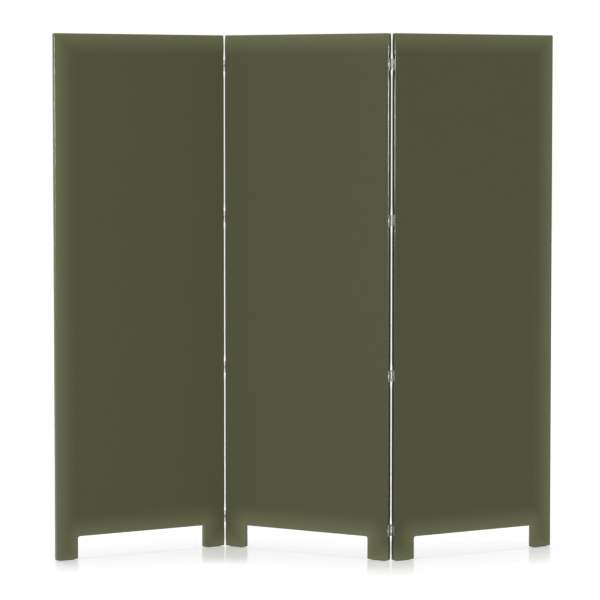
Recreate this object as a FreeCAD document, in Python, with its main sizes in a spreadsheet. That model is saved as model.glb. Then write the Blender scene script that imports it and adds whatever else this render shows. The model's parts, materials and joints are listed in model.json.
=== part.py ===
import FreeCAD, Part
import os
import Sketcher
from FreeCAD import Placement, Rotation, Vector

# Folding screen: three upholstered panels joined by double-action hinges.
# Millimetres, +Z up, the front of the screen faces -Y.
# The origin lies on the floor under the middle of the centre panel.

doc = FreeCAD.newDocument("FoldingScreen")
sheet = doc.addObject("Spreadsheet::Sheet", "Sizes")

DRIVING = [
    # panels
    ("panelWide", 600, "width of one panel over its cover"),
    ("panelTall", 1700, "height above the floor"),
    ("panelThick", 18, "thickness over the covers"),
    ("foldDegrees", 27.5, "turn of each panel out of the flat, an angle"),
    ("footWide", 75, "width of a foot over its cover"),
    ("footTall", 75, "height of the opening between the feet"),
    ("coverWall", 1, "cloth with its thin wadding"),
    ("edgeRound", 1.5, "rounding of the covered edges"),
    ("archRound", 6, "cover drawn round the inner corners of the opening"),
    ("backReturn", 12, "front cover turned on to the back"),
    ("backPlay", 0.2, "gap round the back cover"),
    ("boardThick", 2, "hardboard facing"),
    ("railWide", 60, "height of the rails"),
    ("tenonThick", 4, "stub tenon of a rail"),
    ("tenonLong", 20, "length of the tenon in the stile"),
    ("tenonInset", 8, "tenon kept back from the edges of its rail"),
    ("tenonPlay", 0.1, "gap round a tenon"),
    ("padThick", 2, "glide under a foot"),
    ("padWide", 10, "glide across the panel"),
    ("padLong", 50, "glide along the panel"),
    # hinges
    ("hingeFirst", 100, "middle of the lowest hinge above the floor"),
    ("hingeLast", 100, "middle of the highest hinge below the top"),
    ("hingeTall", 38, "height of a leaf"),
    ("leafThick", 0.9, "plate of a leaf"),
    ("linkThick", 0.8, "plate between the two leaves"),
    ("leafPlay", 0.2, "gap between closed plates"),
    ("leafRound", 3, "rounded corners of a leaf"),
    ("pinProud", 0.75, "pin axis in front of the panel's face"),
    ("pinWide", 1.8, "diameter of a pin"),
    ("runPlay", 0.05, "radial play of a turning knuckle"),
    ("knuckleWide", 3.4, "diameter over a knuckle"),
    ("knucklePlay", 0.3, "plate kept back from a neighbour's knuckle"),
    ("fingerPlay", 0.2, "gap between two fingers on a pin"),
    ("middleFinger", 3, "finger of the link on the front pin"),
    ("sideFinger", 3.3, "every other finger"),
    ("fingerInset", 1, "rear fingers kept back from the ends of the leaf"),
    ("screwPitch", 28, "from the upper screw of a leaf to the lower one"),
    ("screwWide", 3, "diameter of a screw's shank"),
    ("screwHead", 4.6, "diameter of a countersunk head"),
    ("screwLong", 16, "length of a screw with its head"),
    ("screwTip", 3, "length of the point"),
    ("screwPlay", 0.05, "radial gap round a screw"),
    ("accessWide", 6.6, "driver hole in the link over a screw"),
]
HINGES = 4


class Size:
    """A length: its number and its formula."""

    def __init__(self, text, value):
        self.text = text
        self.value = value

    def join(self, sign, other, value):
        return Size(f"({self.text} {sign} {other.text})", value)

    def __add__(self, other):
        other = as_size(other)
        return self.join("+", other, self.value + other.value)

    def __sub__(self, other):
        other = as_size(other)
        return self.join("-", other, self.value - other.value)

    def __mul__(self, number):
        return Size(f"({self.text} * {number})", self.value * number)

    def __truediv__(self, number):
        return Size(f"({self.text} / {number})", self.value / number)

    def __neg__(self):
        return Size(f"(0 - {self.text})", -self.value)


def as_size(thing):
    if isinstance(thing, Size):
        return thing
    return Size(str(thing), float(thing))


def fill_sheet():
    """Write the driving dimensions and give each one back by name."""
    named = {}
    for row, (alias, number, note) in enumerate(DRIVING, start=1):
        sheet.set(f"A{row}", note)
        sheet.set(f"B{row}", str(number))
        sheet.setAlias(f"B{row}", alias)
        named[alias] = Size(f"Sizes.{alias}", float(number))
    doc.recompute()
    return named


size = fill_sheet()
zero = as_size(0)

# Panel stack, in the panel's own frame: x runs from its left edge, y from
# front to back with 0 in the middle of the thickness, z up from the floor.
halfThick = size["panelThick"] / 2
coreHalf = halfThick - size["coverWall"]
frameHalf = coreHalf - size["boardThick"]
stileWide = size["footWide"] - size["coverWall"] * 2
stileFoot = size["padThick"] + size["coverWall"]
stileTop = size["panelTall"] - size["coverWall"]

# Hinge stack across the gap between two panels lying flat in line.
jointGap = size["leafThick"] * 2 + size["linkThick"] + size["leafPlay"] * 2
pinFromEdge = size["leafThick"] + size["leafPlay"] / 2
pinFromMiddle = (size["linkThick"] + size["leafPlay"]) / 2
pinOut = halfThick + size["pinProud"]
knuckleRadius = size["knuckleWide"] / 2
plateEnd = pinOut - knuckleRadius - size["knucklePlay"]
headDeep = (size["screwHead"] - size["screwWide"]) / 2

# Fingers on the front pin sit round the middle of the hinge, those on the
# two rear pins at its top and bottom.
frontLow = size["middleFinger"] / 2 + size["fingerPlay"]
frontHigh = frontLow + size["sideFinger"]
rearHigh = size["hingeTall"] / 2 - size["fingerInset"]
rearLow = rearHigh - size["sideFinger"]
linkHigh = rearLow - size["fingerPlay"]
linkLow = linkHigh - size["sideFinger"]


def hinge_height(number):
    """Middle of a hinge above the floor, number 1 at the top."""
    pitch = (size["panelTall"] - size["hingeFirst"] - size["hingeLast"]) / (HINGES - 1)
    return size["hingeFirst"] + pitch * (HINGES - number)


def screw_heights():
    """Every screw on one panel edge, from the floor up."""
    heights = []
    for number in range(HINGES, 0, -1):
        for side in (-0.5, 0.5):
            heights.append(hinge_height(number) + size["screwPitch"] * side)
    return heights


# Where the panels stand. The left panel turns on the front pins of its
# hinges and the right panel on the rear pins, both by the same fold.
def shifted(x, y=0.0, z=0.0):
    return Placement(Vector(x, y, z), Rotation())


def turned(degrees):
    return Placement(Vector(), Rotation(Vector(0, 0, 1), degrees))


def turned_about(x, y, degrees):
    return shifted(x, y) * turned(degrees) * shifted(-x, -y)


halfTurn = size["foldDegrees"].value
leftFrontPin = (-(jointGap / 2 + pinFromMiddle).value, -pinOut.value)
rightRearPin = ((size["panelWide"] + jointGap / 2 + pinFromMiddle).value, pinOut.value)
panelStep = (size["panelWide"] + jointGap).value

centrePlace = turned(-halfTurn) * shifted(-size["panelWide"].value / 2)
leftPlace = centrePlace * turned_about(*leftFrontPin, 2 * halfTurn) * shifted(-panelStep)
rightPlace = centrePlace * turned_about(*rightRearPin, 2 * halfTurn) * shifted(panelStep)
PANELS = {"left": leftPlace, "centre": centrePlace, "right": rightPlace}
HINGED_EDGES = {"left": ["right"], "centre": ["left", "right"], "right": ["left"]}


# Building blocks shared by the sub-parts.
def new_body(label, place):
    body = doc.addObject("PartDesign::Body", label)
    body.Label = label
    body.Placement = place
    return body


def new_sketch(body, name, role, offset=None):
    """A sketch on one of the body's own origin planes."""
    sketch = body.newObject("Sketcher::SketchObject", name)
    for plane in body.Origin.OriginFeatures:
        if plane.Role == role:
            sketch.AttachmentSupport = [(plane, "")]
    sketch.MapMode = "FlatFace"
    if offset is not None:
        sketch.setExpression("AttachmentOffset.Base.z", offset.text)
    return sketch


def pin_point(sketch, geometry, point, x, y):
    """Hold a point of the sketch at a distance from its origin."""
    for kind, distance in (("DistanceX", x), ("DistanceY", y)):
        index = sketch.addConstraint(Sketcher.Constraint(kind, -1, 1, geometry, point, distance.value))
        sketch.setExpression(f"Constraints[{index}]", distance.text)


def draw_outline(sketch, corners):
    """A closed outline of straight lines through the given corners."""
    first = sketch.GeometryCount
    count = len(corners)
    for index in range(count):
        start = corners[index]
        end = corners[(index + 1) % count]
        line = Part.LineSegment(Vector(start[0].value, start[1].value), Vector(end[0].value, end[1].value))
        sketch.addGeometry(line)
    for index in range(count):
        following = first + (index + 1) % count
        sketch.addConstraint(Sketcher.Constraint("Coincident", first + index, 2, following, 1))
    for index, (x, y) in enumerate(corners):
        pin_point(sketch, first + index, 1, x, y)


def draw_circle(sketch, x, y, diameter):
    centre = Vector(x.value, y.value)
    circle = sketch.addGeometry(Part.Circle(centre, Vector(0, 0, 1), diameter.value / 2))
    pin_point(sketch, circle, 3, x, y)
    index = sketch.addConstraint(Sketcher.Constraint("Diameter", circle, diameter.value))
    sketch.setExpression(f"Constraints[{index}]", diameter.text)


def box_corners(left, right, low, high):
    return [(left, low), (right, low), (right, high), (left, high)]


def add_pad(body, sketch, length, both_ways=False, backwards=False):
    pad = body.newObject("PartDesign::Pad", sketch.Name + "Pad")
    pad.Profile = sketch
    pad.setExpression("Length", length.text)
    pad.SideType = "Symmetric" if both_ways else "One side"
    pad.Reversed = backwards
    return pad


def add_pocket(body, sketch, length, both_ways=False, backwards=False):
    pocket = body.newObject("PartDesign::Pocket", sketch.Name + "Pocket")
    pocket.Profile = sketch
    pocket.setExpression("Length", length.text)
    pocket.SideType = "Symmetric" if both_ways else "One side"
    pocket.Reversed = backwards
    return pocket


def add_fillet(body, name, feature, edges, radius):
    fillet = body.newObject("PartDesign::Fillet", body.Name + name)
    fillet.Base = (feature, edges)
    fillet.setExpression("Radius", radius.text)
    return fillet


def add_box(label, lengths, place):
    box = doc.addObject("Part::Box", label)
    for side, length in zip(("Length", "Width", "Height"), lengths):
        box.setExpression(side, length.text)
    box.Placement = place
    return box


def add_group(label, members):
    group = doc.addObject("Part::Compound", label)
    group.Label = label
    group.Links = members
    return group


def notched_outline(inset):
    """Front view of a panel with its two feet, drawn in by an inset."""
    left = inset
    right = size["panelWide"] - inset
    foot = size["footWide"] - inset
    floor = size["padThick"] + inset
    arch = size["footTall"] + inset
    top = size["panelTall"] - inset
    innerRight = size["panelWide"] - foot
    return [
        (left, floor), (foot, floor), (foot, arch), (innerRight, arch),
        (innerRight, floor), (right, floor), (right, top), (left, top),
    ]


# Frame of a panel.
def rail_feet():
    """Lower edge of each rail."""
    top = stileTop - size["railWide"]
    bottom = size["footTall"] + size["coverWall"]
    return {"top_rail": top, "middle_rail": (top + bottom) / 2, "bottom_rail": bottom}


def make_stile(panel, side):
    """A full-height board whose lower end is the core of a foot."""
    body = new_body(f"{panel}_panel_{side}_stile", PANELS[panel])
    left = size["coverWall"]
    if side == "right":
        left = size["panelWide"] - size["coverWall"] - stileWide
    right = left + stileWide
    outline = new_sketch(body, body.Name + "Outline", "XZ_Plane")
    draw_outline(outline, box_corners(left, right, stileFoot, stileTop))
    add_pad(body, outline, frameHalf * 2, both_ways=True)
    inner = right if side == "left" else left
    mortises = new_sketch(body, body.Name + "Mortises", "YZ_Plane", inner)
    half = size["tenonThick"] / 2 + size["tenonPlay"]
    for foot in rail_feet().values():
        low = foot + size["tenonInset"] - size["tenonPlay"]
        high = foot + size["railWide"] - size["tenonInset"] + size["tenonPlay"]
        draw_outline(mortises, box_corners(-half, half, low, high))
    add_pocket(body, mortises, size["tenonLong"] + size["tenonPlay"], backwards=side == "right")
    if side in HINGED_EDGES[panel]:
        outer = left if side == "left" else right
        pilots = new_sketch(body, body.Name + "Pilots", "YZ_Plane", outer)
        for height in screw_heights():
            draw_circle(pilots, zero, height, size["screwWide"] + size["screwPlay"] * 2)
        add_pocket(body, pilots, size["screwLong"], backwards=side == "left")
    return body


def make_rail(panel, name, foot):
    """A rail between the stiles with a stub tenon at each end."""
    span = size["panelWide"] - (stileWide + size["coverWall"]) * 2
    start = size["coverWall"] + stileWide
    label = f"{panel}_panel_{name}"
    beamPlace = shifted(start.value, -frameHalf.value, foot.value)
    beam = add_box(label + "_beam", (span, frameHalf * 2, size["railWide"]), beamPlace)
    tenonStart = start - size["tenonLong"]
    tenonFoot = foot + size["tenonInset"]
    tenonPlace = shifted(tenonStart.value, -size["tenonThick"].value / 2, tenonFoot.value)
    tenonSpan = span + size["tenonLong"] * 2
    tenonTall = size["railWide"] - size["tenonInset"] * 2
    tenon = add_box(label + "_tenon", (tenonSpan, size["tenonThick"], tenonTall), tenonPlace)
    rail = doc.addObject("Part::Fuse", label)
    rail.Label = label
    rail.Base = beam
    rail.Tool = tenon
    rail.Placement = PANELS[panel]
    return rail


def make_board(panel, face):
    """Hardboard facing with the outline of the core."""
    body = new_body(f"{panel}_panel_{face}_board", PANELS[panel])
    seat = frameHalf if face == "front" else -frameHalf
    outline = new_sketch(body, body.Name + "Outline", "XZ_Plane", seat)
    draw_outline(outline, notched_outline(size["coverWall"]))
    add_pad(body, outline, size["boardThick"], backwards=face == "back")
    return body


# Covers of a panel.
def make_front_cover(panel):
    """Cloth over the front and the edges, turned on to the back."""
    body = new_body(f"{panel}_panel_front_cover", PANELS[panel])
    outline = new_sketch(body, body.Name + "Outline", "XZ_Plane")
    draw_outline(outline, notched_outline(zero))
    slab = add_pad(body, outline, size["panelThick"], both_ways=True)
    doc.recompute()
    corners = []
    for index, edge in enumerate(slab.Shape.Edges, start=1):
        box = edge.BoundBox
        atArch = abs(box.Center.z - size["footTall"].value) < size["coverWall"].value
        if atArch and box.YLength > halfThick.value:
            corners.append(f"Edge{index}")
    arch = add_fillet(body, "Arch", slab, corners, size["archRound"])
    doc.recompute()
    rims = []
    for index, edge in enumerate(arch.Shape.Edges, start=1):
        if edge.BoundBox.YLength < halfThick.value:
            rims.append(f"Edge{index}")
    add_fillet(body, "Rims", arch, rims, size["edgeRound"])
    core = new_sketch(body, body.Name + "Core", "XZ_Plane")
    draw_outline(core, notched_outline(size["coverWall"]))
    add_pocket(body, core, coreHalf * 2, both_ways=True)
    window = new_sketch(body, body.Name + "Window", "XZ_Plane")
    draw_outline(window, notched_outline(size["backReturn"]))
    add_pocket(body, window, size["panelThick"])
    for side in HINGED_EDGES[panel]:
        outer = zero if side == "left" else size["panelWide"]
        holes = new_sketch(body, f"{body.Name}{side.title()}Holes", "YZ_Plane", outer)
        for height in screw_heights():
            draw_circle(holes, zero, height, size["screwWide"] + size["screwPlay"] * 2)
        add_pocket(body, holes, size["coverWall"], backwards=side == "left")
    return body


def make_back_cover(panel):
    """Cloth that closes the back inside the turned-over border."""
    body = new_body(f"{panel}_panel_back_cover", PANELS[panel])
    outline = new_sketch(body, body.Name + "Outline", "XZ_Plane", -coreHalf)
    draw_outline(outline, notched_outline(size["backReturn"] + size["backPlay"]))
    add_pad(body, outline, size["coverWall"], backwards=True)
    return body


def make_foot_pads(panel):
    """A glide in the middle of the underside of each foot."""
    label = f"{panel}_panel_foot_pads"
    middle = size["footWide"] / 2
    pads = []
    for side, centre in (("left", middle), ("right", size["panelWide"] - middle)):
        corner = shifted((centre - size["padLong"] / 2).value, -size["padWide"].value / 2)
        sides = (size["padLong"], size["padWide"], size["padThick"])
        pads.append(add_box(f"{label}_{side}", sides, PANELS[panel] * corner))
    return add_group(label, pads)


# Double-action hinge: two leaves on the panel edges and a link between them.
def plate_outline(ends, fingers):
    """Side view of a plate whose fingers reach past its front edge."""
    front, back = ends
    low = -size["hingeTall"] / 2
    high = size["hingeTall"] / 2
    corners = [(back, high), (back, low), (front, low)]
    for start, end in fingers:
        corners += [(front, start), (-pinOut, start), (-pinOut, end), (front, end)]
    corners.append((front, high))
    return corners


def round_plate_corners(body, plate, reach):
    """Round the plate's corners at its free edge."""
    doc.recompute()
    corners = []
    for index, edge in enumerate(plate.Shape.Edges, start=1):
        box = edge.BoundBox
        across = box.XLength > max(box.YLength, box.ZLength)
        atEnd = abs(box.Center.z) > size["hingeTall"].value / 2 - size["leafPlay"].value
        if across and atEnd and box.Center.y > reach.value - size["leafPlay"].value:
            corners.append(f"Edge{index}")
    add_fillet(body, "Corners", plate, corners, size["leafRound"])


def add_knuckle(body, name, x, y, low, high, bore):
    """One finger round a pin, with its bore."""
    ring = new_sketch(body, body.Name + name, "XY_Plane", low)
    draw_circle(ring, x, y, size["knuckleWide"])
    add_pad(body, ring, high - low)
    hole = new_sketch(body, body.Name + name + "Bore", "XY_Plane", low)
    draw_circle(hole, x, y, bore)
    return add_pocket(body, hole, high - low, backwards=True)


def add_finger_pair(body, name, x, y, low, high, bore):
    """A finger above the middle of the hinge and one below it."""
    add_knuckle(body, name + "Upper", x, y, low, high, bore)
    return add_knuckle(body, name + "Lower", x, y, -high, -low, bore)


def make_leaf(label, place, low, high):
    """A leaf that lies on a panel edge; x leads away from the panel.

    Its two fingers, one above and one below the middle, hold the pin.
    """
    body = new_body(label, place)
    freeEnd = halfThick - size["edgeRound"]
    outline = new_sketch(body, body.Name + "Outline", "YZ_Plane")
    fingers = [(-high, -low), (low, high)]
    draw_outline(outline, plate_outline((-plateEnd, freeEnd), fingers))
    plate = add_pad(body, outline, size["leafThick"])
    round_plate_corners(body, plate, freeEnd)
    add_finger_pair(body, "Finger", pinFromEdge, -pinOut, low, high, size["pinWide"])
    seats = new_sketch(body, body.Name + "Seats", "YZ_Plane", size["leafThick"])
    for side in (-0.5, 0.5):
        draw_circle(seats, zero, size["screwPitch"] * side, size["screwWide"] + size["screwPlay"] * 2)
    doc.recompute()
    hole = body.newObject("PartDesign::Hole", body.Name + "Hole")
    hole.Profile = seats
    hole.ThreadType = "None"
    hole.DepthType = "ThroughAll"
    hole.setExpression("Diameter", (size["screwWide"] + size["screwPlay"] * 2).text)
    hole.HoleCutType = "Countersink"
    hole.HoleCutCustomValues = True
    hole.setExpression("HoleCutDiameter", (size["screwHead"] + size["screwPlay"] * 2).text)
    hole.HoleCutCountersinkAngle = 90
    return body


def make_link(label, place):
    """The plate between the leaves, one finger in front and two behind."""
    body = new_body(label, place)
    low = -size["hingeTall"] / 2
    high = size["hingeTall"] / 2
    middle = size["middleFinger"] / 2
    outline = new_sketch(body, body.Name + "Outline", "YZ_Plane")
    front = [(-plateEnd, low), (-plateEnd, -middle), (-pinOut, -middle)]
    front += [(-pinOut, middle), (-plateEnd, middle), (-plateEnd, high)]
    rear = [(plateEnd, high), (plateEnd, linkHigh), (pinOut, linkHigh), (pinOut, linkLow)]
    rear += [(plateEnd, linkLow), (plateEnd, -linkLow), (pinOut, -linkLow)]
    rear += [(pinOut, -linkHigh), (plateEnd, -linkHigh), (plateEnd, low)]
    draw_outline(outline, front + rear)
    add_pad(body, outline, size["linkThick"], both_ways=True)
    bore = size["pinWide"] + size["runPlay"] * 2
    add_knuckle(body, "Front", -pinFromMiddle, -pinOut, -middle, middle, bore)
    add_finger_pair(body, "Rear", pinFromMiddle, pinOut, linkLow, linkHigh, bore)
    access = new_sketch(body, body.Name + "Access", "YZ_Plane")
    for side in (-0.5, 0.5):
        draw_circle(access, zero, size["screwPitch"] * side, size["accessWide"])
    add_pocket(body, access, size["linkThick"], both_ways=True)
    return body


def edge_place(panel, side):
    """Frame on a panel edge: x away from the panel, z from the floor."""
    if side == "right":
        return PANELS[panel] * shifted(size["panelWide"].value)
    return PANELS[panel] * turned(180)


def make_pin(label, frame, low, high):
    """A pin held by the fingers of a leaf, given in the leaf's frame."""
    pin = doc.addObject("Part::Cylinder", label)
    pin.setExpression("Radius", (size["pinWide"] / 2).text)
    pin.setExpression("Height", (high - low).text)
    pin.Placement = frame * shifted(pinFromEdge.value, -pinOut.value, low.value)
    return pin


def make_screw(label, frame, height):
    """A countersunk wood screw driven through a leaf into the stile."""
    shankRadius = size["screwWide"] / 2
    head = doc.addObject("Part::Cone", label + "_head")
    head.setExpression("Radius1", (size["screwHead"] / 2).text)
    head.setExpression("Radius2", shankRadius.text)
    head.setExpression("Height", headDeep.text)
    shank = doc.addObject("Part::Cylinder", label + "_shank")
    shank.setExpression("Radius", shankRadius.text)
    shank.setExpression("Height", (size["screwLong"] - size["screwTip"]).text)
    tip = doc.addObject("Part::Cone", label + "_tip")
    tip.setExpression("Radius1", shankRadius.text)
    tip.Radius2 = 0
    tip.setExpression("Height", size["screwTip"].text)
    tip.setExpression("Placement.Base.z", (size["screwLong"] - size["screwTip"]).text)
    screw = doc.addObject("Part::MultiFuse", label)
    screw.Shapes = [head, shank, tip]
    inward = Placement(Vector(), Rotation(Vector(0, 1, 0), -90))
    screw.Placement = frame * shifted(size["leafThick"].value, 0, height.value) * inward
    return screw


def make_joint_hinges(joint, panels):
    """The hinges of one joint between its left-hand and right-hand panel."""
    parts = []
    leftFrame = edge_place(panels[0], "right")
    rightFrame = edge_place(panels[1], "left")
    centreEdge = edge_place("centre", joint)
    for number in range(1, HINGES + 1):
        up = shifted(0, 0, hinge_height(number).value)
        name = f"{joint}_hinge_{number}"
        parts.append(make_leaf(f"{name}_front_leaf", leftFrame * up, frontLow, frontHigh))
        parts.append(make_leaf(f"{name}_rear_leaf", rightFrame * up, rearLow, rearHigh))
        middle = centreEdge * shifted((jointGap / 2).value)
        if joint == "left":
            middle = middle * turned(180)
        parts.append(make_link(f"{name}_link", middle * up))
    return parts


JOINTS = {"left": ("left", "centre"), "right": ("centre", "right")}


def make_pin_groups():
    """Pins, one group for each panel that carries them."""
    pins = {"left": [], "centre": [], "right": []}
    for joint, (leftPanel, rightPanel) in JOINTS.items():
        for number in range(1, HINGES + 1):
            up = shifted(0, 0, hinge_height(number).value)
            frame = edge_place(leftPanel, "right") * up
            name = f"{joint}_hinge_{number}"
            pins[leftPanel].append(make_pin(f"{name}_front_pin", frame, -frontHigh, frontHigh))
            frame = edge_place(rightPanel, "left") * up
            pins[rightPanel].append(make_pin(f"{name}_upper_pin", frame, linkLow, rearHigh))
            pins[rightPanel].append(make_pin(f"{name}_lower_pin", frame, -rearHigh, -linkLow))
    return [add_group(f"{panel}_panel_hinge_pins", members) for panel, members in pins.items()]


def make_screw_groups():
    """Screws, one group for each panel."""
    groups = []
    for panel, sides in HINGED_EDGES.items():
        screws = []
        for side in sides:
            frame = edge_place(panel, side)
            for index, height in enumerate(screw_heights(), start=1):
                screws.append(make_screw(f"{panel}_{side}_edge_screw_{index}", frame, height))
        groups.append(add_group(f"{panel}_panel_hinge_screws", screws))
    return groups


def make_panel(panel):
    parts = [make_stile(panel, "left"), make_stile(panel, "right")]
    for name, foot in rail_feet().items():
        parts.append(make_rail(panel, name, foot))
    parts += [make_board(panel, "front"), make_board(panel, "back")]
    parts += [make_front_cover(panel), make_back_cover(panel), make_foot_pads(panel)]
    return parts


def check_parts(parts):
    """Stop on any object that failed or has no valid shape."""
    for thing in doc.Objects:
        if "Invalid" in thing.State or "Error" in thing.State:
            raise RuntimeError(f"{thing.Label}: {thing.State}")
    for part in parts:
        if part.Shape.isNull() or not part.Shape.isValid():
            raise RuntimeError(f"{part.Label}: no valid shape")


def write_parts(parts):
    os.makedirs("parts", exist_ok=True)
    for part in parts:
        part.Shape.exportStep(f"parts/{part.Label}.step")
        print(f"{part.Label}: {len(part.Shape.Solids)} solids, {part.Shape.Volume:.1f} mm3")


allParts = []
for panelName in PANELS:
    allParts += make_panel(panelName)
for jointName, jointPanels in JOINTS.items():
    allParts += make_joint_hinges(jointName, jointPanels)
allParts += make_pin_groups()
allParts += make_screw_groups()
doc.recompute()
check_parts(allParts)
write_parts(allParts)
print(f"{len(allParts)} parts, joint gap {jointGap.value:.2f} mm")
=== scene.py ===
import json
import math

import bmesh
import bpy
from mathutils import Matrix, Vector


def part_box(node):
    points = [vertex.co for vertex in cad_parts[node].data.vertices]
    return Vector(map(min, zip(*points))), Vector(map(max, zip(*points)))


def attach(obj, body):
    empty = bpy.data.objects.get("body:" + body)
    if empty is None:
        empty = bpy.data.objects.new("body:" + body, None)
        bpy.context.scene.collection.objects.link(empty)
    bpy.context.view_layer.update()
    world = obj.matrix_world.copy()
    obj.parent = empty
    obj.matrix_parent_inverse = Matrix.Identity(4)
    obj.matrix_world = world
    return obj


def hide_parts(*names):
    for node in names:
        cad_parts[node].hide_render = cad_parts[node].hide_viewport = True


# Folding screen: three olive cloth panels on double-action hinges, in metres.
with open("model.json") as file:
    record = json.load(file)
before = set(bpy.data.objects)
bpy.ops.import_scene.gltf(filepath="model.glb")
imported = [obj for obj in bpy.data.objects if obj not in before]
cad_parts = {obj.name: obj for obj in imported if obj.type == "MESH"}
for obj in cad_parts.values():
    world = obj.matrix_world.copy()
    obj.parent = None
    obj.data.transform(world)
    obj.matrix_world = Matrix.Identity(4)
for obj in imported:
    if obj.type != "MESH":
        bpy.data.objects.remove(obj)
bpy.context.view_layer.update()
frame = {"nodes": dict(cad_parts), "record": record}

mm = 0.001
sameSpot = 1e-6  # two points nearer than this are one
panelNames = ("left", "centre", "right")
hingedEdges = {"left": ("right",), "centre": ("left", "right"), "right": ("left",)}
sideSigns = {"left": -1, "right": 1}
jointNames = ("left", "right")
hingeNumbers = (1, 2, 3, 4)
feet = {mount["name"]: Vector(mount["pos_m"]) for mount in frame["record"]["mounts"]}


def panelPlace(panel):
    # a panel's own frame: x along it from its middle, y from front to back, z up from the floor
    leftFoot = feet[f"{panel}_panel_left_foot"]
    rightFoot = feet[f"{panel}_panel_right_foot"]
    along = (rightFoot - leftFoot).normalized()
    up = Vector((0, 0, 1))
    middle = (leftFoot + rightFoot) / 2
    turn = Matrix((along, up.cross(along), up)).transposed()
    return Matrix.Translation(middle) @ turn.to_4x4()


def ownBox(panel, node):
    # lowest and highest corner of a CAD node in a panel's own frame
    toOwn = panelPlace(panel).inverted()
    points = [toOwn @ vertex.co for vertex in frame["nodes"][node].data.vertices]
    low = Vector([min(point[axis] for point in points) for axis in range(3)])
    high = Vector([max(point[axis] for point in points) for axis in range(3)])
    return low, high


# sizes that every panel shares, read from the frame
coverLow, coverHigh = ownBox("centre", "centre_panel_front_cover")
boardLow = ownBox("centre", "centre_panel_front_board")[0]
railLow = ownBox("centre", "centre_panel_bottom_rail")[0]
halfWide = coverHigh.x
halfThick = coverHigh.y
coverWall = boardLow.y - coverLow.y  # cloth with its wadding
footMiddle = (feet["centre_panel_right_foot"] - feet["centre_panel_left_foot"]).length / 2
footInner = 2 * footMiddle - halfWide  # inner side of a foot
floorGap = coverLow.z
panelTop = coverHigh.z
archHigh = railLow.z - coverWall
leafBoxes = [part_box(f"left_hinge_{number}_front_leaf") for number in hingeNumbers]
hingeHeights = [(low.z + high.z) / 2 for low, high in leafBoxes]
hingeTall = leafBoxes[0][1].z - leafBoxes[0][0].z
panelSizes = (2 * halfWide, panelTop, 2 * halfThick, archHigh)
print("width, height, thickness and arch of a panel", [round(size, 4) for size in panelSizes])


# Materials
white = (1, 1, 1, 1)


def linear(hexText):
    # sRGB hex to the linear colour that a shader takes
    channels = [int(hexText[place:place + 2], 16) / 255 for place in (1, 3, 5)]
    return [c / 12.92 if c <= 0.04045 else ((c + 0.055) / 1.055) ** 2.4 for c in channels] + [1]


def addNode(tree, kind, settings=None, links=None):
    # settings are the node's own properties or its sockets' values; links give sockets their sources
    node = tree.nodes.new("ShaderNode" + kind)
    for key, value in (settings or {}).items():
        if isinstance(key, str) and hasattr(node, key):
            setattr(node, key, value)
        else:
            node.inputs[key].default_value = value
    for key, source in (links or {}).items():
        tree.links.new(source, node.inputs[key])
    return node


def mixColours(tree, share, first, second):
    # blends two colours, each a hex text or a node's output
    # a mix node takes its colours at sockets 6 and 7 and gives the blend at 2
    node = addNode(tree, "Mix", {"data_type": "RGBA"}, {0: share})
    for socket, colour in ((6, first), (7, second)):
        if isinstance(colour, str):
            node.inputs[socket].default_value = linear(colour)
        else:
            tree.links.new(colour, node.inputs[socket])
    return node.outputs[2]


def waveScale(length):
    # scale at which a wave texture with bands across an axis, the sine of 20 x, repeats after a length
    return 2 * math.pi / 20 / length


def newMaterial(name):
    material = bpy.data.materials.new(name)
    material.use_nodes = True
    material.node_tree.nodes.clear()
    return material, material.node_tree


def finishMaterial(tree, surface):
    addNode(tree, "OutputMaterial", links={"Surface": surface.outputs[0]})


canvas = {
    "colour": "#414326",
    "shade": "#3D3F23",  # hollows between the threads
    "paintedGlare": "#656848",  # painted highlight: paler cloth colour towards the free edges, standing in for glare from the white backdrop
    "thread": 4.0 * mm,  # real threads are about 0.5 mm; drawn eight times as wide so that they show
    "threadShare": 0.5,  # height of the threads beside that of the slubs
    "slub": 2.5 * mm,  # thicker stretches of yarn
    "slubLong": 90 * mm,
    "slubDetail": 2.0,
    "toneRange": (0.25, 1.15),  # heights of the hollows and of the crowns
    "relief": 0.03 * mm,
    "bump": 0.4,
    "roughness": 0.34,
    "rubbed": 0.13,  # roughness along the edges, where hands have polished the coat
    "ior": 1.5,
    "specular": 0.3,  # the coat is thin and mirrors little
    "sheen": 0.03,
    "sheenRoughness": 0.4,
}


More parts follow.
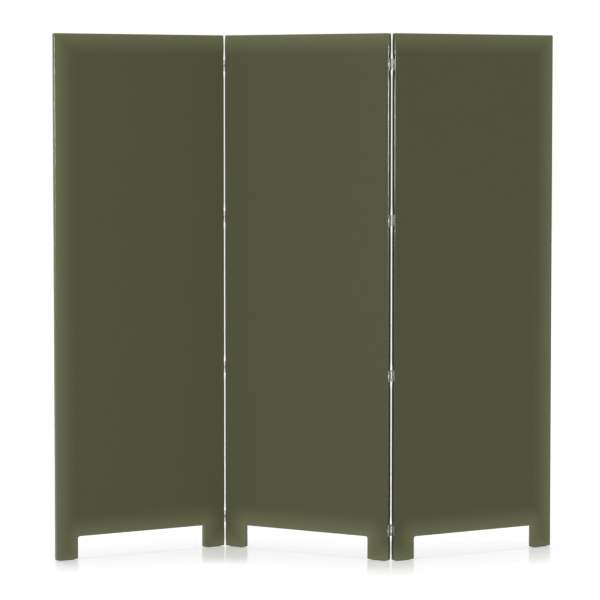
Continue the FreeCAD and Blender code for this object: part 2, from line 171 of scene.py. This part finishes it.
def canvasMaterial():
    # dyed cotton canvas with a thin satin coat: even olive, a weave that just shows, edges rubbed glossy; a
    # paler border along the free edges is painted glare
    material, tree = newMaterial("olive_coated_canvas")
    weave = addNode(tree, "UVMap", {"uv_map": "weave"}).outputs["UV"]
    over = addNode(tree, "TexChecker", {"Scale": 1 / canvas["thread"]}, {"Vector": weave})
    bandScale = waveScale(2 * canvas["thread"])  # one rounded thread in each cell
    warp = addNode(tree, "TexWave", {"bands_direction": "X", "Scale": bandScale}, {"Vector": weave})
    weft = addNode(tree, "TexWave", {"bands_direction": "Y", "Scale": bandScale}, {"Vector": weave})
    threads = addNode(tree, "Mix", {"data_type": "FLOAT"}, {
        0: over.outputs["Fac"], 2: warp.outputs["Fac"], 3: weft.outputs["Fac"]})
    slubScale = (1 / canvas["slubLong"], 1 / canvas["slub"], 1)
    stretch = addNode(tree, "Mapping", {"Scale": slubScale}, {"Vector": weave})
    slubs = addNode(tree, "TexNoise", {"Scale": 1.0, "Detail": canvas["slubDetail"]}, {
        "Vector": stretch.outputs["Vector"]})
    height = addNode(tree, "Math", {"operation": "MULTIPLY_ADD", 1: canvas["threadShare"]}, {
        0: threads.outputs[0], 2: slubs.outputs["Fac"]}).outputs[0]
    hollow, crown = canvas["toneRange"]
    tone = addNode(tree, "MapRange", {"From Min": hollow, "From Max": crown}, {"Value": height})
    body = mixColours(tree, tone.outputs["Result"], canvas["shade"], canvas["colour"])
    # painted highlight: a paler band along the free edges, standing in for glare from the backdrop
    glareShare = addNode(tree, "Attribute", {"attribute_name": "paintedGlareEdge"})
    dyeAndGlare = mixColours(tree, glareShare.outputs["Fac"], body, canvas["paintedGlare"])
    rub = addNode(tree, "Attribute", {"attribute_name": "rubbedEdge"})
    gloss = addNode(tree, "MapRange", {"To Min": canvas["roughness"], "To Max": canvas["rubbed"]}, {
        "Value": rub.outputs["Fac"]})
    bump = addNode(tree, "Bump", {"Strength": canvas["bump"], "Distance": canvas["relief"]}, {
        "Height": height})
    surface = addNode(tree, "BsdfPrincipled", {
        "IOR": canvas["ior"], "Specular IOR Level": canvas["specular"],
        "Sheen Weight": canvas["sheen"], "Sheen Roughness": canvas["sheenRoughness"]}, {
        "Base Color": dyeAndGlare, "Roughness": gloss.outputs["Result"], "Normal": bump.outputs["Normal"]})
    finishMaterial(tree, surface)
    return material


yarn = {
    "colour": "#5C5E42",
    "shade": "#47492F",
    "twist": 1.2 * mm,  # half the length in which the slanting strands repeat along a thread
    "relief": 0.1 * mm,
    "bump": 0.5,
    "roughness": 0.45,
    "ior": 1.55,
}


def yarnMaterial():
    # twisted polyester sewing thread: a little paler than the cloth, with slanting strands
    material, tree = newMaterial("olive_polyester_thread")
    place = addNode(tree, "TexCoord").outputs["Object"]
    strands = addNode(tree, "TexWave", {
        "bands_direction": "DIAGONAL", "Scale": waveScale(yarn["twist"])}, {"Vector": place}).outputs["Fac"]
    tone = mixColours(tree, strands, yarn["shade"], yarn["colour"])
    bump = addNode(tree, "Bump", {"Strength": yarn["bump"], "Distance": yarn["relief"]}, {"Height": strands})
    surface = addNode(tree, "BsdfPrincipled", {"Roughness": yarn["roughness"], "IOR": yarn["ior"]}, {
        "Base Color": tone, "Normal": bump.outputs["Normal"]})
    finishMaterial(tree, surface)
    return material


pine = {
    "colour": "#D9B98A",
    "late": "#B98C57",
    "ring": 6 * mm,
    "grainLong": 300 * mm,
    "noiseScale": 0.5,
    "noiseDetail": 3.0,
    "lateRange": (0.45, 0.62),  # where early wood turns to late wood
    "relief": 0.1 * mm,
    "bump": 0.3,
    "roughness": 0.6,
    "ior": 1.5,
}


def pineMaterial():
    # planed pine: pale wood with darker late-wood lines along the board
    material, tree = newMaterial("planed_pine")
    place = addNode(tree, "TexCoord").outputs["Object"]
    grainScale = (1 / pine["ring"], 1 / pine["ring"], 1 / pine["grainLong"])
    stretch = addNode(tree, "Mapping", {"Scale": grainScale}, {"Vector": place})
    rings = addNode(tree, "TexNoise", {"Scale": pine["noiseScale"], "Detail": pine["noiseDetail"]}, {
        "Vector": stretch.outputs["Vector"]})
    early, late = pine["lateRange"]
    lines = addNode(tree, "MapRange", {"From Min": early, "From Max": late}, {
        "Value": rings.outputs["Fac"]}).outputs["Result"]
    grain = mixColours(tree, lines, pine["colour"], pine["late"])
    bump = addNode(tree, "Bump", {"Strength": pine["bump"], "Distance": pine["relief"]}, {"Height": lines})
    surface = addNode(tree, "BsdfPrincipled", {"Roughness": pine["roughness"], "IOR": pine["ior"]}, {
        "Base Color": grain, "Normal": bump.outputs["Normal"]})
    finishMaterial(tree, surface)
    return material


hardboard = {
    "colour": "#7A5B3E",
    "fleck": "#5E432B",
    "fibre": 3 * mm,
    "fibreDetail": 4.0,
    "roughness": 0.55,
    "ior": 1.5,
}


def hardboardMaterial():
    # pressed fibre board: brown, smooth, with short darker fibres
    material, tree = newMaterial("hardboard")
    place = addNode(tree, "TexCoord").outputs["Object"]
    fineness = {"Scale": 1 / hardboard["fibre"], "Detail": hardboard["fibreDetail"]}
    fibres = addNode(tree, "TexNoise", fineness, {"Vector": place})
    tone = mixColours(tree, fibres.outputs["Fac"], hardboard["fleck"], hardboard["colour"])
    surface = addNode(tree, "BsdfPrincipled", {
        "Roughness": hardboard["roughness"], "IOR": hardboard["ior"]}, {"Base Color": tone})
    finishMaterial(tree, surface)
    return material


nickel = {
    "colour": "#AEAEA7",
    "dull": "#90908A",
    "tumbleMark": 4 * mm,
    "tumbleDetail": 3.0,
    "plateRoughness": 0.3,
    "pinRoughness": 0.24,
    "roughnessShares": (1.3, 0.7),  # of the dullest and of the brightest patches
}


def nickelMaterial(name, roughness):
    # worn nickel plate on pressed steel: neutral grey metal, clouded by tumbling
    material, tree = newMaterial(name)
    place = addNode(tree, "TexCoord").outputs["Object"]
    fineness = {"Scale": 1 / nickel["tumbleMark"], "Detail": nickel["tumbleDetail"]}
    clouds = addNode(tree, "TexNoise", fineness, {"Vector": place}).outputs["Fac"]
    tone = mixColours(tree, clouds, nickel["dull"], nickel["colour"])
    dullest, brightest = nickel["roughnessShares"]
    gloss = addNode(tree, "MapRange", {"To Min": roughness * dullest, "To Max": roughness * brightest}, {
        "Value": clouds})
    surface = addNode(tree, "BsdfPrincipled", {"Metallic": 1.0}, {
        "Base Color": tone, "Roughness": gloss.outputs["Result"]})
    finishMaterial(tree, surface)
    return material


glidePlastic = {
    "colour": "#1B1B1A",
    "scuffed": "#2E2D2B",
    "grain": 1.5 * mm,
    "grainDetail": 2.0,
    "relief": 0.05 * mm,
    "bump": 0.2,
    "roughness": 0.5,
    "ior": 1.49,
}


def glideMaterial():
    # moulded polypropylene: black, matt, scuffed a little paler
    material, tree = newMaterial("black_polypropylene")
    place = addNode(tree, "TexCoord").outputs["Object"]
    fineness = {"Scale": 1 / glidePlastic["grain"], "Detail": glidePlastic["grainDetail"]}
    scuffs = addNode(tree, "TexNoise", fineness, {"Vector": place}).outputs["Fac"]
    tone = mixColours(tree, scuffs, glidePlastic["colour"], glidePlastic["scuffed"])
    bump = addNode(tree, "Bump", {"Strength": glidePlastic["bump"], "Distance": glidePlastic["relief"]}, {
        "Height": scuffs})
    surface = addNode(tree, "BsdfPrincipled", {
        "Roughness": glidePlastic["roughness"], "IOR": glidePlastic["ior"]}, {
        "Base Color": tone, "Normal": bump.outputs["Normal"]})
    finishMaterial(tree, surface)
    return material


canvasCloth = canvasMaterial()
sewingThread = yarnMaterial()
planedPine = pineMaterial()
brownBoard = hardboardMaterial()
nickelPlate = nickelMaterial("nickel_plate", nickel["plateRoughness"])
pinSteel = nickelMaterial("nickel_plated_pin", nickel["pinRoughness"])
blackPlastic = glideMaterial()
print("materials", len(bpy.data.materials))


# Shared steps
def meshData(mesh, name):
    # ends a bmesh and keeps what it holds
    data = bpy.data.meshes.new(name)
    mesh.to_mesh(data)
    mesh.free()
    return data


def addObject(name, data):
    item = bpy.data.objects.new(name, data)
    bpy.context.scene.collection.objects.link(item)
    return item


def panelPiece(mesh, panel, name, material, nodes=()):
    # turns a bmesh in a panel's own frame into a piece that rides with the panel
    bmesh.ops.transform(mesh, matrix=panelPlace(panel), verts=mesh.verts)
    data = meshData(mesh, name)
    data.materials.append(material)
    piece = addObject(name, data)
    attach(piece, f"{panel}_panel")
    if nodes:
        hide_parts(*nodes)
    return piece


def outlineCorners(inset):
    # front view of a panel with its two feet, drawn in by an inset; corners three and four are the arch's
    wide = halfWide - inset
    inner = footInner + inset
    low = floorGap + inset
    arch = archHigh + inset
    high = panelTop - inset
    return [(-wide, low), (-inner, low), (-inner, arch), (inner, arch),
            (inner, low), (wide, low), (wide, high), (-wide, high)]


def outlineFace(mesh, inset, depth):
    # that outline as one face; returns the arch's corners and the others
    points = [mesh.verts.new((x, depth, z)) for x, z in outlineCorners(inset)]
    mesh.faces.new(points)
    return points[2:4], points[:2] + points[4:]


roundProfile = 0.5  # a bevel of this profile is an arc


def roundCorners(mesh, points, radius, segments):
    bmesh.ops.bevel(mesh, geom=points, offset=radius, offset_type="OFFSET", segments=segments,
                    profile=roundProfile, affect="VERTICES", material=-1)


def roundEdges(mesh, edges, radius, segments):
    bmesh.ops.bevel(mesh, geom=edges, offset=radius, offset_type="OFFSET", segments=segments,
                    profile=roundProfile, affect="EDGES", material=-1, clamp_overlap=True)


def deepen(mesh, depth):
    # extrudes the mesh's only face from front to back, or to the front if the depth is negative
    grown = bmesh.ops.extrude_face_region(mesh, geom=mesh.faces[:])["geom"]
    moved = [item for item in grown if isinstance(item, bmesh.types.BMVert)]
    bmesh.ops.translate(mesh, verts=moved, vec=(0, depth, 0))


def cutAcross(mesh, axis, places):
    # adds edges where planes across an axis meet the mesh
    for place in places:
        spot = Vector()
        spot[axis] = place
        normal = Vector()
        normal[axis] = 1
        everything = mesh.verts[:] + mesh.edges[:] + mesh.faces[:]
        bmesh.ops.bisect_plane(mesh, geom=everything, dist=sameSpot, plane_co=spot, plane_no=normal)


def squareLoop(mesh, points, corners):
    # draws every point of a loop to the nearest corner, so that each corner is one sharp point
    groups = {tuple(corner): [] for corner in corners}
    for point in points:
        nearest = min(corners, key=lambda corner: (point.co - corner).length)
        groups[tuple(nearest)].append(point)
    for corner, group in groups.items():
        bmesh.ops.pointmerge(mesh, verts=group, merge_co=corner)


def addWeaveMap(mesh):
    # the cloth unrolled in metres, so that the threads run along the panel and on round its edges
    weave = mesh.loops.layers.uv.new("weave")
    for face in mesh.faces:
        turn = face.normal
        for loop in face.loops:
            spot = loop.vert.co
            depth = spot.y + halfThick
            loop[weave].uv = (spot.x + depth * turn.x, spot.z + depth * turn.z)


# Covers
cloth = {
    "edgeRound": 2.5 * mm,
    "edgeSegments": 8,
    "archRound": 6 * mm,
    "archSegments": 8,
    "cornerRound": 3 * mm,  # a smaller one would also shrink the rounding of the edges
    "cornerSegments": 3,
    "backReturn": 12 * mm,  # front cover turned on to the back
    "backPlay": 0.2 * mm,
    "drawnIn": 0.5 * mm,  # the front lies this much lower along its free edges
    "drawReach": 60 * mm,
    "swell": 1.1 * mm,  # wadding stands out between the hinges, which press it flat
    "swellReach": 30 * mm,
    "glareReach": 75 * mm,  # painted highlight: a paler border along the free edges, glare from the white backdrop painted into the cloth
    "glareMost": 0.75,
    "glareCurve": 1.5,
    "rubDeep": 0.05 * mm,  # the edge is fully rubbed from this far below the faces
    "hem": 9 * mm,  # turned edge of the back cover
    "hemDeep": 0.35 * mm,
    "hemSlope": 3,  # the hem's step is this many times as wide as it is deep
    "hemRound": 0.3 * mm,
    "hemSegments": 3,
    "turnIn": 10 * mm,  # cloth folded under the back cover's edge
    "borderCuts": (3, 7, 12, 18, 25, 33, 42, 52, 63, 75),  # millimetres from an edge
    "middleCuts": (0, 50 * mm, 100 * mm),  # to each side of the panel's middle
    "levels": 12,  # even steps from the arch to the top
    "swellCuts": (0, 0.25, 0.5, 0.75, 1),  # shares of the swelling's reach
}


def freeDistance(spot, panel):
    # how far a point on a panel's face is from the nearest edge that carries no hinge
    sides = {"left": spot.x + halfWide, "right": halfWide - spot.x}
    fromArch = Vector((max(abs(spot.x) - footInner, 0), max(spot.z - archHigh, 0))).length
    free = [panelTop - spot.z, fromArch]
    if abs(spot.x) > footInner:
        free.append(spot.z - floorGap)
    free += [sides[side] for side in sides if side not in hingedEdges[panel]]
    return max(min(free), 0)


def paintGlareEdges(mesh, panel):
    # painted light: the cloth's colour is made paler towards the free edges, standing in for glare from the
    # bright backdrop
    paintedGlare = mesh.verts.layers.float.new("paintedGlareEdge")
    for vertex in mesh.verts:
        share = max(1 - freeDistance(vertex.co, panel) / cloth["glareReach"], 0)
        vertex[paintedGlare] = cloth["glareMost"] * share ** cloth["glareCurve"]


def rubEdges(mesh):
    # the coat is polished on the edges and their roundings
    rubbed = mesh.verts.layers.float.new("rubbedEdge")
    for vertex in mesh.verts:
        vertex[rubbed] = min((halfThick - abs(vertex.co.y)) / cloth["rubDeep"], 1)


def swellAt(height):
    # 0 at the hinges and the panel's ends, 1 well away from them
    room = [abs(height - middle) - hingeTall / 2 for middle in hingeHeights]
    room += [panelTop - height, height - floorGap]
    share = min(max(min(room) / cloth["swellReach"], 0), 1)
    return share * share * (3 - 2 * share)


def shapeCover(mesh, panel):
    # the cloth is drawn in a little along its free edges, and its wadding swells along the hinged ones
    roundEnd = -halfThick + cloth["edgeRound"] + sameSpot
    for vertex in mesh.verts:
        spot = vertex.co
        if spot.y < roundEnd:
            inward = max(1 - freeDistance(spot, panel) / cloth["drawReach"], 0)
            spot.y += cloth["drawnIn"] * inward ** 2
        for side in hingedEdges[panel]:
            beyond = sideSigns[side] * spot.x - halfWide + cloth["edgeRound"]
            if beyond > 0:
                spot.x += sideSigns[side] * cloth["swell"] * swellAt(spot.z) * beyond / cloth["edgeRound"]


def cutGrid(mesh):
    # cuts that follow the painted glare border, the drawn-in rim and the swelling, and a few between
    steps = [step * mm for step in cloth["borderCuts"]]
    across = [footInner + step for step in steps if footInner + step < halfWide]
    across += [halfWide - step for step in steps] + list(cloth["middleCuts"])
    across = sorted(set(across + [-place for place in across]))
    up = [archHigh + step for step in steps] + [panelTop - step for step in steps]
    up += [floorGap + step for step in steps if floorGap + step < archHigh]
    up += [archHigh + level * (panelTop - archHigh) / cloth["levels"] for level in range(1, cloth["levels"])]
    for share in cloth["swellCuts"]:
        reach = hingeTall / 2 + share * cloth["swellReach"]
        up += [middle + side * reach for middle in hingeHeights for side in sideSigns.values()]
    cutAcross(mesh, 0, across)
    cutAcross(mesh, 2, sorted(up))
    mesh.normal_update()


def makeFrontCover(panel):
    # cloth over the front and the edges, turned on to the back
    name = f"{panel}_front_cover_cloth"
    mesh = bmesh.new()
    archPoints, cornerPoints = outlineFace(mesh, 0, halfThick)
    roundCorners(mesh, archPoints, cloth["archRound"], cloth["archSegments"])
    roundCorners(mesh, cornerPoints, cloth["cornerRound"], cloth["cornerSegments"])
    deepen(mesh, -2 * halfThick)
    mesh.normal_update()
    rims = [edge for edge in mesh.edges if abs(edge.verts[0].co.y - edge.verts[1].co.y) < sameSpot]
    roundEdges(mesh, rims, cloth["edgeRound"], cloth["edgeSegments"])
    mesh.normal_update()
    backFace = max(mesh.faces, key=lambda face: face.calc_center_median().y)
    border = cloth["backReturn"] - cloth["edgeRound"]
    bmesh.ops.inset_region(mesh, faces=[backFace], thickness=border, use_even_offset=True)
    turnedEdge = list(backFace.verts)
    bmesh.ops.delete(mesh, geom=[backFace], context="FACES_ONLY")
    turnedCorners = [Vector((x, halfThick, z)) for x, z in outlineCorners(cloth["backReturn"])]
    squareLoop(mesh, turnedEdge, turnedCorners)
    cutGrid(mesh)
    paintGlareEdges(mesh, panel)
    rubEdges(mesh)
    shapeCover(mesh, panel)
    addWeaveMap(mesh)
    for face in mesh.faces:
        face.smooth = True
    piece = panelPiece(mesh, panel, name, canvasCloth, [f"{panel}_panel_front_cover"])
    wall = piece.modifiers.new("cloth with wadding", "SOLIDIFY")
    wall.thickness = coverWall
    wall.offset = -1


seam = {
    "fromEdge": 3 * mm,
    "long": 5 * mm,
    "pitch": 8 * mm,
    "thick": 0.8 * mm,
    "proud": 0.25 * mm,
    "sides": 6,  # of a stitch's mesh
    "rings": 4,
}


def addStitchRow(mesh, start, end):
    # one run of sewing from corner to corner, on the back of a panel
    row = bmesh.new()
    run = Vector((end[0] - start[0], 0, end[1] - start[1]))
    along = run.normalized()
    depth = Vector((0, 1, 0))
    turn = Matrix((depth.cross(along), depth, along)).transposed().to_4x4()
    shape = Matrix.Diagonal((seam["thick"] / 2, seam["proud"], seam["long"] / 2, 1))
    count = int(run.length // seam["pitch"])
    spare = run.length - (count - 1) * seam["pitch"]
    first = Vector((start[0], halfThick, start[1])) + along * spare / 2
    bmesh.ops.create_uvsphere(row, u_segments=seam["sides"], v_segments=seam["rings"], radius=1,
                              matrix=Matrix.Translation(first) @ turn @ shape)
    bmesh.ops.spin(row, geom=row.faces[:], cent=(0, 0, 0), axis=(0, 1, 0), dvec=along * seam["pitch"],
                   angle=0, steps=count - 1, use_duplicate=True)
    data = meshData(row, "stitch_row")
    mesh.from_mesh(data)
    bpy.data.meshes.remove(data)


def makeStitches(panel):
    # the row of sewing that holds the back cover's hem
    corners = outlineCorners(cloth["backReturn"] + cloth["backPlay"] + seam["fromEdge"])
    mesh = bmesh.new()
    for place, start in enumerate(corners):
        addStitchRow(mesh, start, corners[(place + 1) % len(corners)])
    bmesh.ops.recalc_face_normals(mesh, faces=mesh.faces)
    for face in mesh.faces:
        face.smooth = True
    return panelPiece(mesh, panel, f"{panel}_back_stitches", sewingThread)


def makeBackCover(panel):
    # cloth that closes the back inside the turned-over border, with a folded hem
    name = f"{panel}_back_cover_cloth"
    inset = cloth["backReturn"] + cloth["backPlay"]
    mesh = bmesh.new()
    outlineFace(mesh, inset, halfThick - coverWall)
    deepen(mesh, coverWall)
    bmesh.ops.recalc_face_normals(mesh, faces=mesh.faces)
    mesh.normal_update()
    outside = max(mesh.faces, key=lambda face: face.calc_center_median().y)
    rim = list(outside.edges)
    roundEdges(mesh, rim, cloth["hemRound"], cloth["hemSegments"])
    mesh.normal_update()
    outside = max(mesh.faces, key=lambda face: face.calc_center_median().y)
    bmesh.ops.inset_region(mesh, faces=[outside], thickness=cloth["hem"], use_even_offset=True)
    bmesh.ops.inset_region(mesh, faces=[outside], thickness=cloth["hemDeep"] * cloth["hemSlope"],
                           depth=-cloth["hemDeep"], use_even_offset=True)
    cutGrid(mesh)
    paintGlareEdges(mesh, panel)
    addWeaveMap(mesh)
    piece = panelPiece(mesh, panel, name, canvasCloth, [f"{panel}_panel_back_cover"])
    makeStitches(panel)


for panelName in panelNames:
    makeFrontCover(panelName)
    makeBackCover(panelName)
print("covers made")


# Glides under the feet
glide = {"endRound": 4 * mm, "endSegments": 5, "footRound": 0.5 * mm, "footSegments": 3}


def makeGlides(panel):
    # moulded strips with rounded ends, softened where they slide on the floor
    low, high = ownBox(panel, f"{panel}_panel_foot_pads")
    sizes = Vector((2 * (high.x - footMiddle), high.y - low.y, high.z - low.z))
    mesh = bmesh.new()
    for side in sideSigns.values():
        middle = Vector((side * footMiddle, (low.y + high.y) / 2, (low.z + high.z) / 2))
        place = Matrix.Translation(middle) @ Matrix.Diagonal((*sizes, 1))
        bmesh.ops.create_cube(mesh, size=1, matrix=place)
    upright = [edge for edge in mesh.edges if abs(edge.verts[0].co.z - edge.verts[1].co.z) > sameSpot]
    roundEdges(mesh, upright, glide["endRound"], glide["endSegments"])
    under = [edge for edge in mesh.edges if max(vertex.co.z for vertex in edge.verts) < low.z + sameSpot]
    roundEdges(mesh, under, glide["footRound"], glide["footSegments"])
    panelPiece(mesh, panel, f"{panel}_foot_glides", blackPlastic, [f"{panel}_panel_foot_pads"])


for panelName in panelNames:
    makeGlides(panelName)
print("glides made")


# Screws of the hinges
screw = {
    "head": 4.6 * mm,
    "shank": 3 * mm,
    "long": 16 * mm,
    "tip": 3 * mm,
    "pitch": 28 * mm,  # from the upper screw of a leaf to the lower one
    "recess": 1.1 * mm,  # depth of the cross
    "recessTaper": 0.12 * mm,
    "turn": math.radians(37),  # each screw stops at another angle
    "cells": 5,  # squares across the head
    "crossReach": 1.5,  # arms of the cross, in squares from the middle
}


def screwShape():
    # countersunk wood screw with a cross recess, along z, with its face looking to +z
    radius = screw["head"] / 2
    shank = screw["shank"] / 2
    mesh = bmesh.new()
    bmesh.ops.create_grid(mesh, x_segments=screw["cells"], y_segments=screw["cells"], size=radius)
    cell = 2 * radius / screw["cells"]
    cross = []
    for face in mesh.faces:
        middle = face.calc_center_median()
        if min(abs(middle.x), abs(middle.y)) < cell / 2 and middle.length < screw["crossReach"] * cell:
            cross.append(face)
    rim = [edge for edge in mesh.edges if edge.is_boundary]
    for vertex in {vertex for edge in rim for vertex in edge.verts}:
        vertex.co *= radius / vertex.co.length
    bmesh.ops.inset_region(mesh, faces=cross, thickness=screw["recessTaper"], depth=-screw["recess"],
                           use_even_offset=True)
    rings = ((shank / radius, radius - shank), (1, screw["long"] - screw["tip"]), (1, screw["long"]))
    for narrowed, depth in rings:
        grown = bmesh.ops.extrude_edge_only(mesh, edges=rim)["geom"]
        rim = [item for item in grown if isinstance(item, bmesh.types.BMEdge)]
        ring = [item for item in grown if isinstance(item, bmesh.types.BMVert)]
        for vertex in ring:
            vertex.co = Vector((vertex.co.x * narrowed, vertex.co.y * narrowed, -depth))
    bmesh.ops.pointmerge(mesh, verts=ring, merge_co=(0, 0, -screw["long"]))
    bmesh.ops.recalc_face_normals(mesh, faces=mesh.faces)
    return meshData(mesh, "screw_shape")


def makeScrews(panel):
    # one screw above and one below the middle of each leaf, driven into the panel's edge
    low, high = ownBox(panel, f"{panel}_panel_hinge_screws")
    headPlaces = {"left": low.x, "right": high.x}
    shape = screwShape()
    mesh = bmesh.new()
    for side in hingedEdges[panel]:
        inward = Matrix.Rotation(sideSigns[side] * math.pi / 2, 4, "Y")
        for middle in hingeHeights:
            for upper in (-1, 1):
                height = middle + upper * screw["pitch"] / 2
                place = Matrix.Translation((headPlaces[side], 0, height)) @ inward
                stopped = Matrix.Rotation(len(mesh.verts) * screw["turn"], 4, "Z")
                before = len(mesh.verts)
                mesh.from_mesh(shape)
                mesh.verts.ensure_lookup_table()
                bmesh.ops.transform(mesh, matrix=place @ stopped, verts=mesh.verts[before:])
    bpy.data.meshes.remove(shape)
    panelPiece(mesh, panel, f"{panel}_cross_head_screws", pinSteel,
               [f"{panel}_panel_hinge_screws"])


for panelName in panelNames:
    makeScrews(panelName)
print("screws made")


# Finishes of the CAD nodes that stay
def giveFinish(node, material):
    # the node keeps its mesh
    data = frame["nodes"][node].data
    data.materials.clear()
    data.materials.append(material)


for panelName in panelNames:
    for part in ("left_stile", "right_stile", "top_rail", "middle_rail", "bottom_rail"):
        giveFinish(f"{panelName}_panel_{part}", planedPine)
    for part in ("front_board", "back_board"):
        giveFinish(f"{panelName}_panel_{part}", brownBoard)
    giveFinish(f"{panelName}_panel_hinge_pins", pinSteel)
for joint in jointNames:
    for number in hingeNumbers:
        for part in ("front_leaf", "rear_leaf", "link"):
            giveFinish(f"{joint}_hinge_{number}_{part}", nickelPlate)
print("finishes given")


# Studio
studio = {
    "floorColour": "#BABABB",
    "floorGlow": 0.55,  # lifts the floor to white for the camera, and lights nothing
    "floorGloss": 0.31,  # the most that the floor mirrors of what stands on it
    "glossOpen": 0.75,  # a spot of the floor that is less open than this mirrors that much
    "glossReach": 0.32,  # pieces farther than this from a spot don't count against its openness
    "glossSamples": 8,
    "floorRoughness": 0.12,
    "floorHalf": 20.0,
    "roomDim": 0.32,  # light from the room on the camera's side
    "roomBright": 0.6,  # light from the white sweep behind the screen
    "sweepFrom": (0.4, 0.8),  # how far a direction points backward where the sweep starts and is full
    "lampTurn": 20,  # degrees to each side of the camera's direction
    "lampFar": 60.0,  # so far that it lights every panel alike
    "lampWide": 34.0,
    "lampTall": 2.0,
    "lampHigh": 1.2,  # middle of a lamp, near the camera's height
    "leftLevel": 1.9,
    "rightLevel": 0.54,
    "topSpread": 24,  # degrees across
    "topLevel": 2.3,
}


def seenRay(tree):
    # 1 for what the camera sees straight, in metal or through glass, and 0 for what only lights the screen
    path = addNode(tree, "LightPath")
    mirrored = addNode(tree, "Math", {"operation": "MAXIMUM"}, {
        0: path.outputs["Is Camera Ray"], 1: path.outputs["Is Glossy Ray"]})
    seen = addNode(tree, "Math", {"operation": "MAXIMUM"}, {
        0: mirrored.outputs[0], 1: path.outputs["Is Transmission Ray"]})
    return seen.outputs[0]


def makeFloor():
    # white satin board: keeps the shadow, and mirrors what stands on it a little way out
    material, tree = newMaterial("studio_floor")
    strength = addNode(tree, "Math", {"operation": "MULTIPLY", 1: studio["floorGlow"]}, {0: seenRay(tree)})
    matt = addNode(tree, "BsdfDiffuse", {"Color": linear(studio["floorColour"])})
    glow = addNode(tree, "Emission", {"Color": white}, {"Strength": strength.outputs[0]})
    board = addNode(tree, "AddShader", links={0: matt.outputs[0], 1: glow.outputs[0]})
    openness = addNode(tree, "AmbientOcclusion", {
        "Distance": studio["glossReach"], "samples": studio["glossSamples"]})
    share = addNode(tree, "MapRange", {
        "From Min": 1.0, "From Max": studio["glossOpen"], "To Max": studio["floorGloss"]}, {
        "Value": openness.outputs["AO"]})
    mirror = addNode(tree, "BsdfAnisotropic", {"Color": white, "Roughness": studio["floorRoughness"]})
    both = addNode(tree, "MixShader", links={
        0: share.outputs["Result"], 1: board.outputs[0], 2: mirror.outputs[0]})
    finishMaterial(tree, both)
    mesh = bmesh.new()
    bmesh.ops.create_grid(mesh, x_segments=1, y_segments=1, size=studio["floorHalf"])
    data = meshData(mesh, "studio_floor")
    data.materials.append(material)
    addObject("studio_floor", data)


def makeWorld():
    # white wherever it is seen; its light comes from a bright sweep behind the screen and a dim room in front
    world = bpy.data.worlds.new("studio")
    world.use_nodes = True
    tree = world.node_tree
    tree.nodes.clear()
    direction = addNode(tree, "TexCoord").outputs["Generated"]
    parts = addNode(tree, "SeparateXYZ", links={"Vector": direction})
    sweepStart, sweepFull = studio["sweepFrom"]
    room = addNode(tree, "MapRange", {
        "interpolation_type": "SMOOTHSTEP", "From Min": sweepStart, "From Max": sweepFull,
        "To Min": studio["roomDim"], "To Max": studio["roomBright"]}, {"Value": parts.outputs["Y"]})
    level = addNode(tree, "Math", {"operation": "MAXIMUM"}, {0: room.outputs["Result"], 1: seenRay(tree)})
    light = addNode(tree, "Background", {"Color": white}, {"Strength": level.outputs[0]})
    addNode(tree, "OutputWorld", links={"Surface": light.outputs[0]})
    bpy.context.scene.world = world


def makeSoftbox(name, turn, level):
    # a long low softbox in front of the screen; its level is the light that falls on a face turned to it
    lamp = bpy.data.lights.new(name, "AREA")
    lamp.shape = "RECTANGLE"
    lamp.size = studio["lampWide"]
    lamp.size_y = studio["lampTall"]
    lamp.energy = level * math.pi * studio["lampFar"] ** 2
    box = addObject(name, lamp)
    aside = math.radians(turn)
    away = Vector((math.sin(aside), -math.cos(aside), 0)) * studio["lampFar"]
    box.location = away + Vector((0, 0, studio["lampHigh"]))
    box.rotation_euler = (math.pi / 2, 0, aside)
    box.visible_camera = False


def makeTopLamp():
    # wide soft light from straight above
    lamp = bpy.data.lights.new("top_lamp", "SUN")
    lamp.energy = studio["topLevel"]
    lamp.angle = math.radians(studio["topSpread"])
    addObject("top_lamp", lamp)


makeFloor()
makeWorld()
makeSoftbox("left_softbox", -studio["lampTurn"], studio["leftLevel"])
makeSoftbox("right_softbox", studio["lampTurn"], studio["rightLevel"])
makeTopLamp()
bpy.context.scene.view_settings.view_transform = "Standard"
print("studio set")


# Camera, fitted to the lines of the panel edges in the photograph
view = {
    "from": Vector((-0.0217, -8.033, 1.489)),
    "pitch": math.radians(3.035),  # looks down by this
    "focalPixels": 2466,
    "framePixels": 600,
    "axisPixel": (300, 230),  # where the lens axis meets the picture
    "sensor": 36.0,
}


def makeCamera():
    # the lens is shifted, because the photograph's frame isn't centred on its axis
    lens = bpy.data.cameras.new("photo_camera")
    lens.sensor_width = view["sensor"]
    lens.lens = view["focalPixels"] * view["sensor"] / view["framePixels"]
    half = view["framePixels"] / 2
    lens.shift_x = (half - view["axisPixel"][0]) / view["framePixels"]
    lens.shift_y = (view["axisPixel"][1] - half) / view["framePixels"]
    camera = addObject("photo_camera", lens)
    camera.location = view["from"]
    camera.rotation_euler = (math.pi / 2 - view["pitch"], 0, 0)
    bpy.context.scene.camera = camera


makeCamera()
print("camera set")
